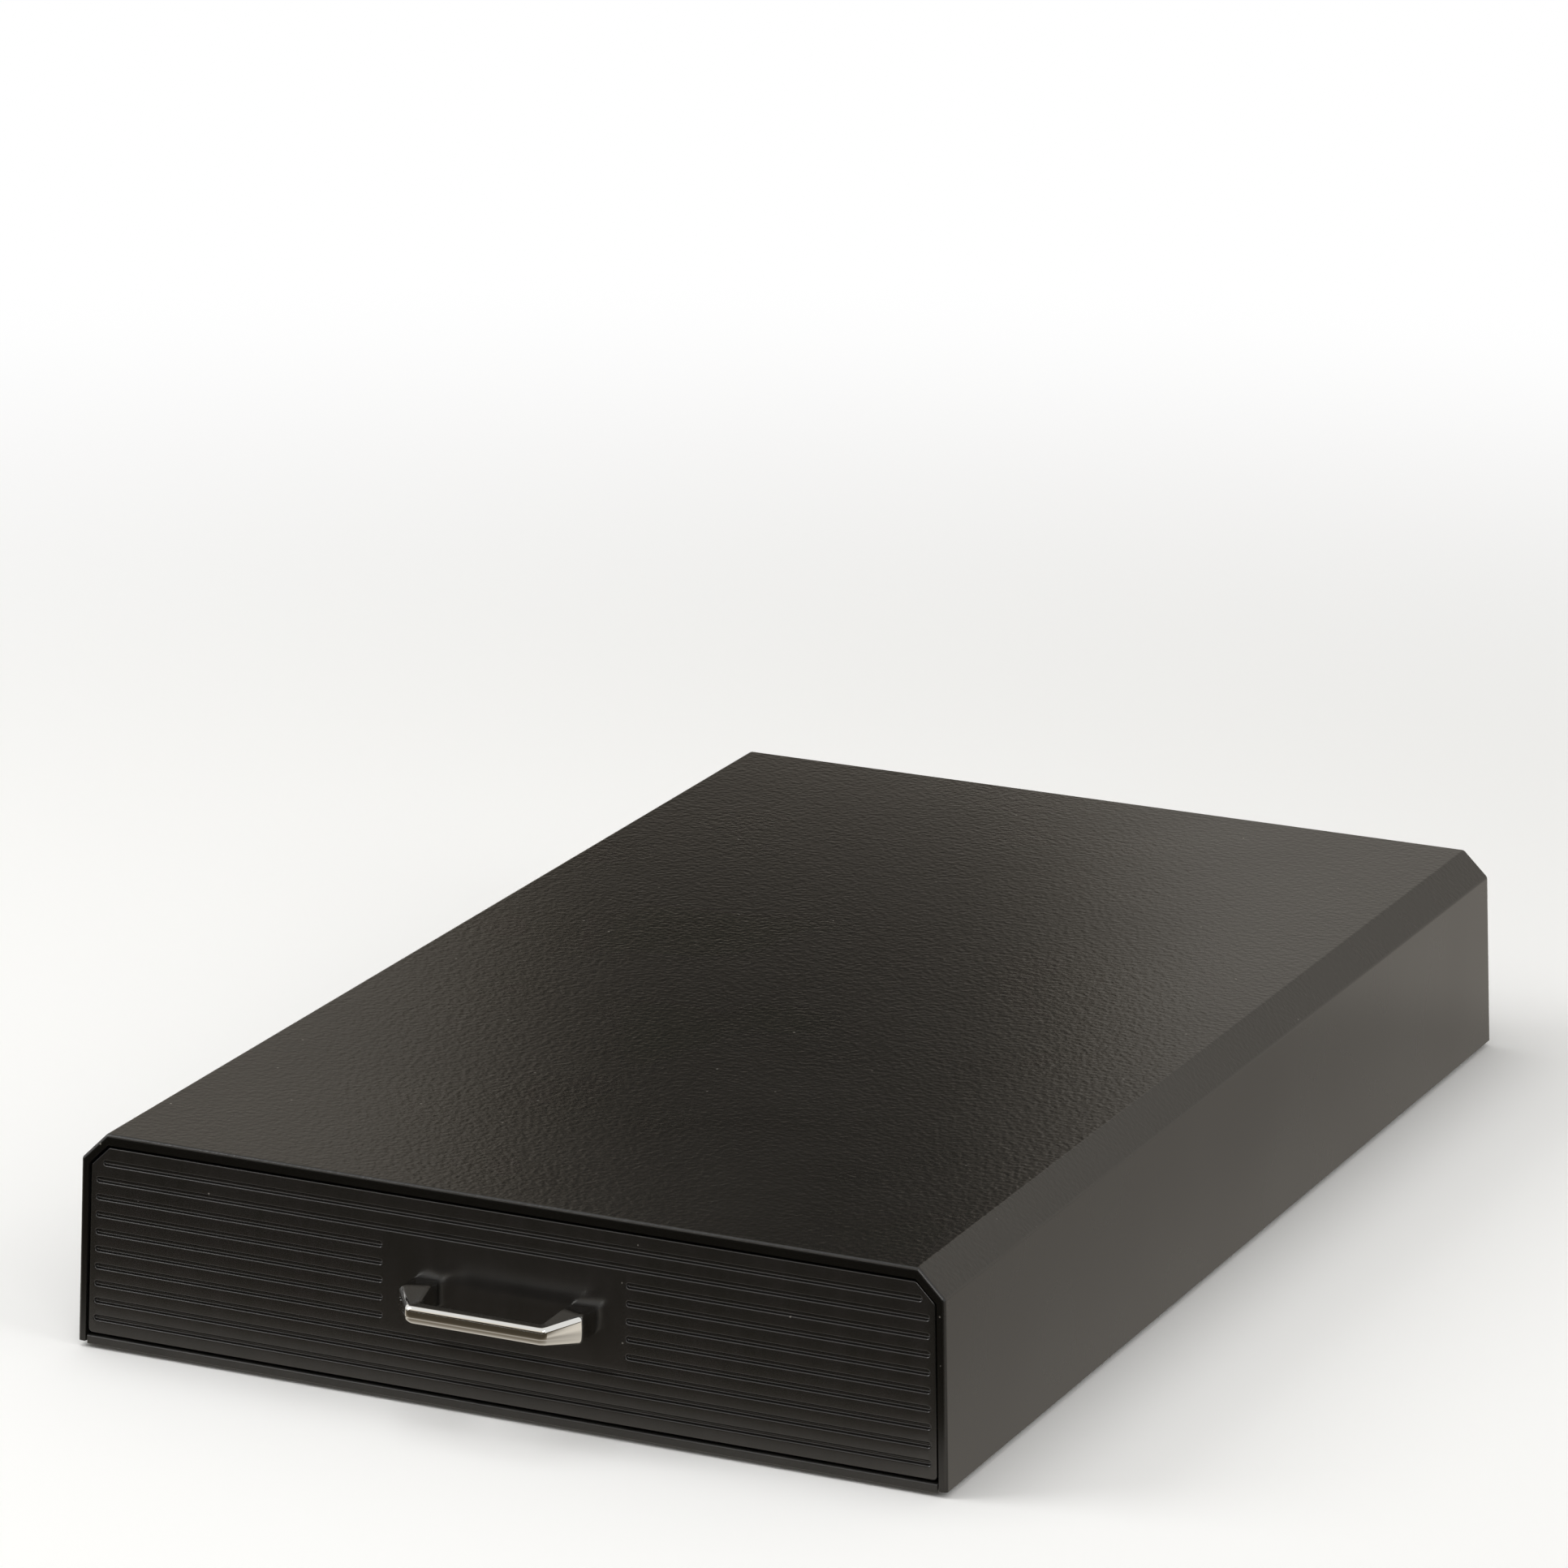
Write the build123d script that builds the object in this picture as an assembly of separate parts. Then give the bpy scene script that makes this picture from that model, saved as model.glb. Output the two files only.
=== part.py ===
from build123d import *
import os
from math import cos, radians, sin, sqrt

# Platform drawer for coffee pods.  A moulded shell with 45 degree shoulders stands on a base plate
# with four rubber pads.  Between them a drawer slides out to the front on two guide rails; its
# ribbed front carries a bow handle, and its tray is parted into lanes for pods.
#
# Millimetres.  +Z is up with 0 on the table, +X to the right seen from the front, +Y to the back.
# While the pieces are made, y = 0 is the front rim of the shell; put_in_frame then moves them so
# that the origin lies in the middle of the whole footprint, handle included.

# ---- shell ---------------------------------------------------------------------------------------
shell_width = 231.0        # over the side walls where the shoulders begin
side_draft = 1.6           # each side wall leans out by this much down to its lower edge
shell_height = 55.0        # lower edge to top
shell_depth = 385.0        # front rim to back wall, along the lower edge
back_draft = 3.2           # the back wall leans out by this much down to its lower edge
shoulder = 7.0             # leg of the 45 degree shoulder, across and down
side_wall = 2.1
back_wall = 2.2
shoulder_wall = 2.35       # measured square to the shoulder
top_wall = 2.8             # thicker, because it carries the machine
rim_radius = 1.0           # rounding of the front rim and of the back edges
edge_radius = 1.2          # rounding along the shoulders

top_rib_height = 2.4
top_rib_thickness = 1.6
top_rib_pitch = 60.0       # between the lengthwise ribs
cross_rib_pitch = 72.0     # between the crosswise ribs
rib_front_gap = 4.0        # behind the drawer front's flange

# ---- base plate and feet -------------------------------------------------------------------------
base_thickness = 2.3
base_drop = 0.6            # underside of the plate below the shell's lower edge
base_gap = 0.3             # round the plate, to the shell's walls
base_edge_radius = 0.4
base_rib_height = 1.8
base_rib_thickness = 1.6
base_rib_pitch = 30.0
base_rib_inset = 12.0      # from the plate's front and back edges to the ends of its ribs

foot_diameter = 14.0
foot_drop = 1.0            # rubber standing out of the plate
foot_recess = 0.6          # rubber let into the plate
foot_clearance = 0.2
foot_inset_x = 17.0        # foot centre from the plate's side edge
foot_inset_y = 20.0        # foot centre from the plate's front or back edge

# ---- spring tongues in the base plate that stop the drawer ---------------------------------------
tongue_width = 22.0
tongue_length = 42.0
tongue_slot = 1.5
tongue_end = 72.0          # rear end of the tongue behind the front rim
catch_offset = 60.0        # tongues and catches from the middle
catch_width = 14.0
catch_thickness = 3.0
catch_clearance = 0.7      # catch over the plate, and tray floor over the ridge
stop_clearance = 0.3       # ridge to catch with the drawer pulled out

# ---- guide rails ---------------------------------------------------------------------------------
runner_web = 2.0
runner_flange = 2.0
runner_foot_width = 6.0    # reach of the rail's foot under the tray
runner_foot_thickness = 1.8
runner_boss_diameter = 5.4
runner_back_gap = 6.0      # end of the rail to the shell's back wall

# ---- drawer tray ---------------------------------------------------------------------------------
lane_count = 5
pods_per_lane = 9
tray_side_space = 11.9     # tray to the shell's side wall, where rails, runners and bosses go
tray_wall = 2.0
tray_floor = 2.0
tray_floor_height = 7.0    # underside of the tray above the table
tray_headroom = 5.4        # tray's upper edge below the shell's ribs
tray_corner_radius = 3.0
tray_under_chamfer = 1.0
tray_back_gap = 6.0        # tray to the shell's back wall
rail_reach = 3.5           # side rails of the tray, across
rail_thickness = 3.0
rail_height = 20.2         # underside of the rails above the table
slide_clearance = 0.3      # rails in the runners, up, down and sideways
floor_rib_height = 1.0
floor_rib_thickness = 1.2

# ---- lane dividers -------------------------------------------------------------------------------
divider_thickness = 1.5
divider_drop = 5.0         # divider's upper edge below the tray's
divider_play = 0.1         # divider in its slots, each side
divider_end_gap = 0.3
slot_rib_thickness = 1.2
slot_rib_reach = 2.5
dip_width = 27.0           # finger dips in the divider's upper edge, one for each pod
dip_depth = 9.0            # their ends slope at 45 degrees

# ---- drawer front --------------------------------------------------------------------------------
front_recess = 0.3         # face of the drawer front behind the shell's front rim
front_side_gap = 0.5
front_shoulder_gap = 0.5
front_top_gap = 0.7
front_bottom_gap = 0.7
front_thickness = 2.6
front_edge_bevel = 0.4
front_corner_radius = 1.2  # corners of its outline
flange_depth = 8.0         # over all, from the face to the back of the flange
flange_wall = 1.8
closed_gap = 0.4           # flange to the guide rails with the drawer shut

groove_count = 10
groove_margin = 4.15       # middle of the outer grooves to the front's upper and lower edges
groove_radius = 1.05
groove_depth = 0.9
groove_end_margin = 1.2    # groove end to the edge of the front
bare_rows = (3, 4, 5, 6, 7)    # grooves, counted from the top, that leave the handle field bare
bare_half_width = 32.4

# ---- bow handle ----------------------------------------------------------------------------------
handle_span = 49.3         # over the two feet
handle_bar_length = 36.6   # from bend to bend along the front of the bar
handle_reach = 16.0        # from the drawer front's face
handle_end_depth = 7.0     # straight part of each foot's outer side
handle_bar_height = 4.4
handle_bar_depth = 4.4
handle_foot_height = 7.6
handle_foot_width = 7.0
handle_edge_radius = 1.3
handle_edge_flats = 3      # flats that round each long edge
handle_raise = 0.65        # middle of the handle above the middle of the drawer front

# ---- fasteners -----------------------------------------------------------------------------------
fit_clearance = 0.05       # screw shank in its pilot hole, on the radius
screw_flats = 12           # screws and their holes have flats in place of rounds
plate_screw_diameter = 3.0
plate_screw_length = 11.0
plate_screw_head = 5.6
plate_screw_head_height = 1.6
front_screw_diameter = 3.0
front_screw_length = 7.5
front_screw_head = 6.0
front_screw_head_height = 2.0
handle_screw_diameter = 4.0
handle_screw_length = 9.6
handle_screw_head = 7.5
handle_screw_head_height = 2.4
shell_boss_diameter = 6.0
front_boss_diameter = 7.0
boss_web = 1.6
boss_gap = 0.4             # shell boss to the guide rail
pilot_extra = 1.0          # pilot hole beyond the screw's tip
front_screw_inset_x = 11.5     # front screws from the tray's sides
front_screw_inset_z = 9.0      # front screws from the tray's floor and upper edge
shell_screw_inset = 24.0   # first and last shell screws from the ends of the base plate
screw_stagger = 18.0       # runner screws from the shell screws beside them

# ---- heights and places worked out from the sizes above ------------------------------------------
base_bottom = foot_drop
base_top = base_bottom + base_thickness
shell_bottom = base_bottom + base_drop
shell_top = shell_bottom + shell_height
shoulder_z = shell_top - shoulder
shell_half_low = shell_width / 2 + side_draft
side_slope = side_draft / (shoulder_z - shell_bottom)
back_slope = back_draft / shell_height

front_face = front_recess
front_plate_back = front_face + front_thickness
tray_front = front_face + flange_depth
front_low = base_top + front_bottom_gap
front_high = shell_top - top_wall - front_top_gap
groove_pitch = (front_high - front_low - 2 * groove_margin) / (groove_count - 1)
tray_half = shell_width / 2 - side_wall - tray_side_space
lane_room = 2 * (tray_half - tray_wall) - (lane_count - 1) * divider_thickness
lane_width = lane_room / lane_count        # 38.6 takes a 37 mm pod
tray_top = shell_top - top_wall - top_rib_height - tray_headroom
tray_inside_z = tray_floor_height + tray_floor
divider_top = tray_top - divider_drop
handle_z = (front_low + front_high) / 2 + handle_raise
handle_front = front_face - handle_reach


def back_y(z, inset=0.0):
    """Depth of the shell's leaning back wall at height z, moved in by inset."""
    return shell_depth - back_slope * (z - shell_bottom) - inset


def side_x(z, inset=0.0):
    """Half the shell's width at height z below the shoulders, moved in by inset."""
    return shell_half_low - side_slope * (z - shell_bottom) - inset


tray_back = back_y(shell_top, back_wall) - tray_back_gap
tray_inner_length = tray_back - tray_front - 2 * tray_wall
rail_half = tray_half + rail_reach
runner_inside = tray_half + slide_clearance
runner_groove = rail_half + slide_clearance
runner_outside = runner_groove + runner_web
runner_front = tray_front + closed_gap
runner_back = back_y(shell_top, back_wall) - runner_back_gap
runner_screw_x = runner_outside
shell_boss_x = runner_outside + boss_gap + shell_boss_diameter / 2
base_half = side_x(base_top, side_wall) - base_gap
base_back = back_y(base_top, back_wall) - base_gap
shell_screw_places = (shell_screw_inset, base_back / 2, base_back - shell_screw_inset)
runner_screw_places = (shell_screw_places[0] + screw_stagger, shell_screw_places[2] - screw_stagger)
ridge_height = tray_floor_height - catch_clearance - base_top
ridge_back = tongue_end - tongue_slot


# ---- shared ways of making solids ----------------------------------------------------------------
def block(x0, x1, y0, y1, z0, z1):
    """Box between two corners."""
    return Pos(x0, y0, z0) * Box(x1 - x0, y1 - y0, z1 - z0, align=(Align.MIN,) * 3)


def across(section, y0, y1):
    """Prism of an x-z section from depth y0 to depth y1."""
    return extrude(Plane.XZ.offset(-y1) * section, y1 - y0)


def along(section, x0, x1):
    """Prism of a y-z section from x0 to x1."""
    return extrude(Plane.YZ.offset(x0) * section, x1 - x0)


def upright(radius, x, y, z0, z1):
    """Cylinder standing at (x, y) from z0 to z1."""
    return Pos(x, y, z0) * Cylinder(radius, z1 - z0, align=(Align.CENTER, Align.CENTER, Align.MIN))


def lengthwise(radius, x, z, y0, y1):
    """Cylinder lying front to back at (x, z) from y0 to y1."""
    rod = Cylinder(radius, y1 - y0, align=(Align.CENTER, Align.CENTER, Align.MIN))
    return Pos(x, y0, z) * Rot(-90, 0, 0) * rod


def upright_flats(radius, x, y, z0, z1):
    """Bar of flats standing at (x, y) from z0 to z1, for a screw or its hole."""
    return extrude(Pos(x, y, z0) * RegularPolygon(radius, screw_flats), z1 - z0)


def lengthwise_flats(radius, x, z, y0, y1):
    """Bar of flats lying front to back at (x, z) from y0 to y1, for a screw or its hole."""
    return Pos(x, y0, z) * Rot(-90, 0, 0) * extrude(RegularPolygon(radius, screw_flats), y1 - y0)


def fuse(shapes):
    """One solid from several that touch."""
    shapes = list(shapes)
    return shapes[0].fuse(*shapes[1:]) if len(shapes) > 1 else shapes[0]


def cut(shape, tools):
    """Shape less all the tools."""
    return shape.cut(*tools)


def put_in_frame(shape):
    """Move a finished piece from the front rim's datum to the part's own origin."""
    return Pos(0, -(handle_front + shell_depth) / 2, 0) * shape


def save(name, shape):
    export_step(put_in_frame(shape), f"parts/{name}.step")


def house_section(side_inset, shoulder_inset, top_inset, floor_z, radius=0.0):
    """Section of the shell across its width, each face moved in by its inset."""
    brace = shell_width / 2 + shoulder_z - shoulder_inset * sqrt(2)
    corner_z = (brace - side_x(shell_bottom) - side_slope * shell_bottom + side_inset)
    corner_z = corner_z / (1 - side_slope)
    top_z = shell_top - top_inset
    right = [
        (side_x(floor_z, side_inset), floor_z),
        (brace - corner_z, corner_z),
        (brace - top_z, top_z),
    ]
    left = [(-x, z) for x, z in reversed(right)]
    section = Polygon(*right, *left, align=None)
    if radius:
        upper = section.vertices().filter_by(lambda v: v.Y > floor_z + side_draft)
        section = fillet(upper, radius)
    return section


def house_prism(section, y0, back_inset):
    """The section run back from y0 to the leaning back wall, moved in by back_inset."""
    low_z = base_bottom - base_thickness
    profile = Polygon(
        (y0, low_z), (back_y(low_z, back_inset), low_z),
        (back_y(shell_top, back_inset), shell_top), (y0, shell_top), align=None)
    return across(section, y0, shell_depth + back_draft) & along(profile, -shell_width, shell_width)


# ---- platform shell ------------------------------------------------------------------------------
def shell_cavity():
    """Space inside the shell, open to the front and below."""
    low_z = base_bottom - base_drop
    section = house_section(side_wall, shoulder_wall, top_wall, low_z)
    return house_prism(section, -rim_radius * 2, back_wall)


def top_ribs():
    """Grid of ribs under the top, which stiffen it under the machine."""
    rib_z = shell_top - top_wall - top_rib_height
    rib_front = tray_front + rib_front_gap
    rib_back = shell_depth
    half = top_rib_thickness / 2
    rows = int(shell_width / 2 / top_rib_pitch)
    ribs = [
        block(x - half, x + half, rib_front, rib_back, rib_z, shell_top)
        for x in [i * top_rib_pitch for i in range(-rows, rows + 1)]
    ]
    count = int((shell_depth - rib_front) / cross_rib_pitch)
    for i in range(count + 1):
        y = rib_front + i * cross_rib_pitch
        ribs.append(block(-shell_width, shell_width, y, y + top_rib_thickness, rib_z, shell_top))
    return ribs


def shell_bosses():
    """Screw bosses down the inside of the side walls, each tied to its wall by a web."""
    bosses = []
    for y in shell_screw_places:
        for side in (-1, 1):
            x = side * shell_boss_x
            bosses.append(upright(shell_boss_diameter / 2, x, y, base_top, shell_top))
            web = sorted((x, side * shell_half_low))
            bosses.append(block(*web, y - boss_web / 2, y + boss_web / 2, base_top, shell_top))
    return bosses


def platform_shell():
    outer = house_prism(house_section(0, 0, 0, shell_bottom, edge_radius), 0, 0)
    front_edges = outer.faces().sort_by(Axis.Y)[0].edges()
    back_edges = outer.faces().sort_by(Axis.Y)[-1].edges()
    rim = [e for e in front_edges + back_edges if e.center().Z > shell_bottom + side_draft]
    outer = fillet(rim, rim_radius)
    cavity = shell_cavity()
    inner_parts = fuse(top_ribs() + shell_bosses()) & cavity
    shell = (outer - cavity) + inner_parts
    pilots = [
        upright_flats(plate_screw_diameter / 2 + fit_clearance, side * shell_boss_x, y,
                      shell_bottom - base_drop, base_bottom + plate_screw_length + pilot_extra)
        for y in shell_screw_places for side in (-1, 1)
    ]
    return cut(shell, pilots)


# ---- base plate, feet and their screws -----------------------------------------------------------
def plate_screw_spots():
    """Places (x, y) of the countersunk screws under the plate: shell bosses, then guide rails."""
    shell_spots = [(s * shell_boss_x, y) for y in shell_screw_places for s in (-1, 1)]
    runner_spots = [(s * runner_screw_x, y) for y in runner_screw_places for s in (-1, 1)]
    return shell_spots, runner_spots


def plate_screw(x, y, clearance=0.0, length=plate_screw_length):
    """Countersunk screw from below; with a clearance, the hole that it needs."""
    head_top = base_bottom + plate_screw_head_height
    narrow = plate_screw_diameter / 2 + clearance
    head = loft([
        Pos(x, y, base_bottom) * RegularPolygon(plate_screw_head / 2 + clearance, screw_flats),
        Pos(x, y, head_top) * RegularPolygon(narrow, screw_flats),
    ], ruled=True)
    return head + upright_flats(narrow, x, y, head_top, base_bottom + length)


def foot_places():
    """Names and centres of the four rubber pads."""
    x = base_half - foot_inset_x
    return {
        "foot_front_left": (-x, foot_inset_y), "foot_front_right": (x, foot_inset_y),
        "foot_back_left": (-x, base_back - foot_inset_y), "foot_back_right": (x, base_back - foot_inset_y),
    }


def base_plate():
    plate = block(-base_half, base_half, 0, base_back, base_bottom, base_top)
    plate = fillet(plate.faces().sort_by(Axis.Y)[0].edges(), base_edge_radius)
    rows = int((catch_offset - tongue_width / 2) / base_rib_pitch)
    ribs = [
        block(x - base_rib_thickness / 2, x + base_rib_thickness / 2, base_rib_inset,
              base_back - base_rib_inset, base_top, base_top + base_rib_height)
        for x in [i * base_rib_pitch for i in range(-rows, rows + 1)]
    ]
    ridges = []
    slots = []
    for side in (-1, 1):
        x = side * catch_offset
        ramp = Polygon(
            (ridge_back - 3 * catch_thickness, base_top), (ridge_back, base_top),
            (ridge_back, base_top + ridge_height),
            (ridge_back - catch_thickness, base_top + ridge_height), align=None)
        ridges.append(along(ramp, x - catch_width / 2, x + catch_width / 2))
        outer = block(x - tongue_width / 2 - tongue_slot, x + tongue_width / 2 + tongue_slot,
                      tongue_end - tongue_length, tongue_end, 0, tray_floor_height)
        tongue = block(x - tongue_width / 2, x + tongue_width / 2,
                       0, tongue_end - tongue_slot, 0, tray_floor_height)
        slots.append(outer - tongue)
    plate = fuse([plate] + ribs + ridges)
    shell_spots, runner_spots = plate_screw_spots()
    holes = [plate_screw(x, y, fit_clearance, base_thickness) for x, y in shell_spots + runner_spots]
    pads = [
        upright(foot_diameter / 2 + foot_clearance, x, y, 0, base_bottom + foot_recess)
        for x, y in foot_places().values()
    ]
    return cut(plate, slots + holes + pads)


def foot(x, y):
    return upright(foot_diameter / 2, x, y, 0, base_bottom + foot_recess)


# ---- guide rails ---------------------------------------------------------------------------------
def runner_right():
    """Rail whose groove carries the tray's side rail and holds it down; bosses take its screws."""
    groove_z0 = rail_height - slide_clearance
    groove_z1 = rail_height + rail_thickness + slide_clearance
    levels = (
        (runner_inside - runner_foot_width, base_top, base_top + runner_foot_thickness),
        (runner_inside, groove_z0 - runner_flange, groove_z0),
        (runner_inside, groove_z1, groove_z1 + runner_flange),
    )
    web = block(runner_groove, runner_outside, runner_front, runner_back,
                base_top, groove_z1 + runner_flange)
    flanges = [block(x, runner_groove, runner_front, runner_back, z0, z1) for x, z0, z1 in levels]
    boss_top = base_bottom + plate_screw_length + 2 * pilot_extra
    bosses = [
        upright(runner_boss_diameter / 2, runner_screw_x, y, base_top, boss_top)
        for y in runner_screw_places
    ]
    pilots = [
        upright_flats(plate_screw_diameter / 2 + fit_clearance, runner_screw_x, y,
                      base_bottom, base_bottom + plate_screw_length + pilot_extra)
        for y in runner_screw_places
    ]
    return cut(fuse([web] + flanges + bosses), pilots)


# ---- drawer tray ---------------------------------------------------------------------------------
def divider_places():
    """x of the middle of each lane divider, from left to right."""
    pitch = lane_width + divider_thickness
    return [(i - (lane_count - 2) / 2) * pitch for i in range(lane_count - 1)]


def front_screw_spots():
    """Places (x, z) of the screws that hold the tray to the drawer front."""
    x = tray_half - front_screw_inset_x
    heights = (tray_floor_height + front_screw_inset_z, tray_top - front_screw_inset_z)
    return [(s * x, z) for s in (-1, 1) for z in heights]


def drawer_tray():
    outer = block(-tray_half, tray_half, tray_front, tray_back, tray_floor_height, tray_top)
    back_corners = outer.edges().filter_by(Axis.Z).group_by(Axis.Y)[-1]
    outer = fillet(back_corners, tray_corner_radius)
    outer = chamfer(outer.edges().filter_by(Axis.Y).group_by(Axis.Z)[0], tray_under_chamfer)
    inner = block(-tray_half + tray_wall, tray_half - tray_wall, tray_front + tray_wall,
                  tray_back - tray_wall, tray_inside_z, tray_top + tray_wall)
    inner = fillet(inner.edges().filter_by(Axis.Z), tray_corner_radius - tray_wall)
    rails = [
        block(*sorted((s * (tray_half - tray_wall / 2), s * rail_half)), runner_front, tray_back,
              rail_height, rail_height + rail_thickness)
        for s in (-1, 1)
    ]
    catches = [
        block(s * catch_offset - catch_width / 2, s * catch_offset + catch_width / 2,
              tray_back - 2 * catch_thickness, tray_back - catch_thickness,
              base_top + catch_clearance, tray_floor_height + tray_floor / 2)
        for s in (-1, 1)
    ]
    tray = fuse([outer - inner] + rails + catches)
    return cut(tray + fuse(floor_ribs() + slot_ribs()), front_screw_holes(tray_front - tray_wall))


def floor_ribs():
    """Low ribs across the floor between the pods' places."""
    pitch = tray_inner_length / pods_per_lane
    half = floor_rib_thickness / 2
    places = [tray_front + tray_wall + i * pitch for i in range(1, pods_per_lane)]
    inside = tray_half - tray_wall / 2
    return [
        block(-inside, inside, y - half, y + half, tray_floor_height + tray_floor / 2,
              tray_inside_z + floor_rib_height)
        for y in places
    ]


def slot_ribs():
    """Pairs of upright ribs on the front and back walls that hold the dividers' ends."""
    ribs = []
    y_front = tray_front + tray_wall
    y_back = tray_back - tray_wall
    embed = tray_wall / 2
    for x in divider_places():
        for side in (-1, 1):
            near = x + side * (divider_thickness / 2 + divider_play)
            span = sorted((near, near + side * slot_rib_thickness))
            z_range = (tray_floor_height + tray_floor / 2, divider_top)
            ribs.append(block(*span, y_front - embed, y_front + slot_rib_reach, *z_range))
            ribs.append(block(*span, y_back - slot_rib_reach, y_back + embed, *z_range))
    return ribs


def lane_divider(x):
    """Plate that slots into the tray, its upper edge dipped at each pod for a finger."""
    y0 = tray_front + tray_wall + divider_end_gap
    y1 = tray_back - tray_wall - divider_end_gap
    z0 = tray_inside_z + floor_rib_height
    z1 = divider_top
    plate = block(x - divider_thickness / 2, x + divider_thickness / 2, y0, y1, z0, z1)
    pitch = tray_inner_length / pods_per_lane
    first = tray_front + tray_wall + pitch / 2
    half = dip_width / 2
    dips = []
    for i in range(pods_per_lane):
        y = first + i * pitch
        dip = Polygon((y - half, z1), (y - half + dip_depth, z1 - dip_depth),
                      (y + half - dip_depth, z1 - dip_depth), (y + half, z1), align=None)
        dips.append(along(dip, x - divider_thickness, x + divider_thickness))
    return cut(plate, dips)


# ---- drawer front --------------------------------------------------------------------------------
def front_section(inset=0.0):
    """Outline of the drawer front inside the shell's mouth, moved in by inset."""
    return house_section(side_wall + front_side_gap + inset, shoulder_wall + front_shoulder_gap + inset,
                         top_wall + front_top_gap + inset, front_low + inset, front_corner_radius)


def front_half_width(z):
    """Half the width of the drawer front at height z, shoulders included."""
    side = side_x(z, side_wall + front_side_gap)
    brace = shell_width / 2 + shoulder_z - (shoulder_wall + front_shoulder_gap) * sqrt(2)
    return min(side, brace - z)


def groove(x0, x1, z):
    """Cutter for one half-round groove from x0 to x1."""
    y = front_face - (groove_radius - groove_depth)
    return Pos((x0 + x1) / 2, y, z) * Rot(0, 90, 0) * Cylinder(groove_radius, x1 - x0)


def front_grooves():
    """All grooves; the rows beside the handle stop at its bare field."""
    cutters = []
    for row in range(1, groove_count + 1):
        z = front_high - groove_margin - (row - 1) * groove_pitch
        end = front_half_width(z + groove_radius) - groove_end_margin
        if row in bare_rows:
            cutters.append(groove(-end, -bare_half_width, z))
            cutters.append(groove(bare_half_width, end, z))
        else:
            cutters.append(groove(-end, end, z))
    return cutters


def drawer_front():
    body = across(front_section(), front_face, tray_front)
    body = chamfer(body.faces().sort_by(Axis.Y)[0].edges(), front_edge_bevel)
    pocket = across(front_section(flange_wall), front_plate_back, tray_front + flange_depth)
    bosses = [
        lengthwise(front_boss_diameter / 2, x, z, front_plate_back - front_edge_bevel, tray_front)
        for x, z in front_screw_spots()
    ]
    body = fuse([body - pocket] + bosses)
    return cut(body, front_grooves() + front_screw_holes(front_screw_tip()) + handle_screw_holes())


# ---- bow handle ----------------------------------------------------------------------------------
def bow_section(outside, inside, height):
    """Section of the bow, standing between two points of its plan, its corners rounded by flats."""
    across_bow = Vector(*outside) - Vector(*inside)
    middle = (Vector(*outside) + Vector(*inside)) / 2
    normal = across_bow.cross(Vector(0, 0, 1))
    standing = Plane(origin=middle + Vector(0, 0, handle_z), x_dir=across_bow, z_dir=normal)
    corners = []
    for quarter in range(4):
        centre_x = (across_bow.length / 2 - handle_edge_radius) * (1, -1, -1, 1)[quarter]
        centre_y = (height / 2 - handle_edge_radius) * (1, 1, -1, -1)[quarter]
        for step in range(handle_edge_flats + 1):
            angle = radians(90 * (quarter + step / handle_edge_flats))
            corners.append((centre_x + handle_edge_radius * cos(angle),
                            centre_y + handle_edge_radius * sin(angle)))
    return standing * Polygon(*corners, align=None)


def bow_handle():
    """Bow of a straight bar and two legs that widen and deepen to the feet, mitred at the bends."""
    half_span = handle_span / 2
    half_bar = handle_bar_length / 2
    inner_foot = half_span - handle_foot_width
    inner_bar = half_bar - handle_bar_depth / 2
    bar_back = handle_front + handle_bar_depth
    knee_share = handle_end_depth / (front_face - bar_back)
    inner_knee = (inner_foot + (inner_bar - inner_foot) * knee_share, front_face - handle_end_depth)
    right = [
        ((half_span, front_face), (inner_foot, front_face), handle_foot_height),
        ((half_span, front_face - handle_end_depth), inner_knee, handle_foot_height),
        ((half_bar, handle_front), (inner_bar, bar_back), handle_bar_height),
    ]
    left = [((-xo, yo), (-xi, yi), height) for (xo, yo), (xi, yi), height in reversed(right)]
    bow = loft([bow_section(*place) for place in right + left], ruled=True)
    holes = [
        lengthwise_flats(handle_screw_diameter / 2 + fit_clearance, x, handle_z,
                         handle_screw_tip() - pilot_extra, front_face)
        for x in handle_screw_places()
    ]
    return cut(bow, holes)


def handle_screw_places():
    """x of the two handle screws, in the middle of the feet."""
    x = (handle_span - handle_foot_width) / 2
    return (-x, x)


# ---- screws of the drawer ------------------------------------------------------------------------
def front_screw_tip():
    return tray_front + tray_wall - front_screw_length


def handle_screw_tip():
    return front_plate_back - handle_screw_length


def front_screw_holes(tip_y):
    """Holes for the front screws, from tip_y back through the tray's wall."""
    radius = front_screw_diameter / 2 + fit_clearance
    deep = tray_front + 2 * tray_wall
    return [lengthwise_flats(radius, x, z, tip_y, deep) for x, z in front_screw_spots()]


def handle_screw_holes():
    """Holes for the handle screws through the drawer front."""
    radius = handle_screw_diameter / 2 + fit_clearance
    return [
        lengthwise_flats(radius, x, handle_z, front_face - pilot_extra, front_plate_back + pilot_extra)
        for x in handle_screw_places()
    ]


def pan_screw(x, z, diameter, head, head_height, tip_y, seat_y):
    """Pan-head screw pointing to the front, its head behind seat_y."""
    bevel = head_height / 3
    pan = lengthwise_flats(head / 2, x, z, seat_y, seat_y + head_height)
    pan = chamfer(pan.faces().sort_by(Axis.Y)[-1].edges(), bevel)
    return pan + lengthwise_flats(diameter / 2, x, z, tip_y, seat_y)


def front_screw(x, z):
    return pan_screw(x, z, front_screw_diameter, front_screw_head, front_screw_head_height,
                     front_screw_tip(), tray_front + tray_wall)


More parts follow.
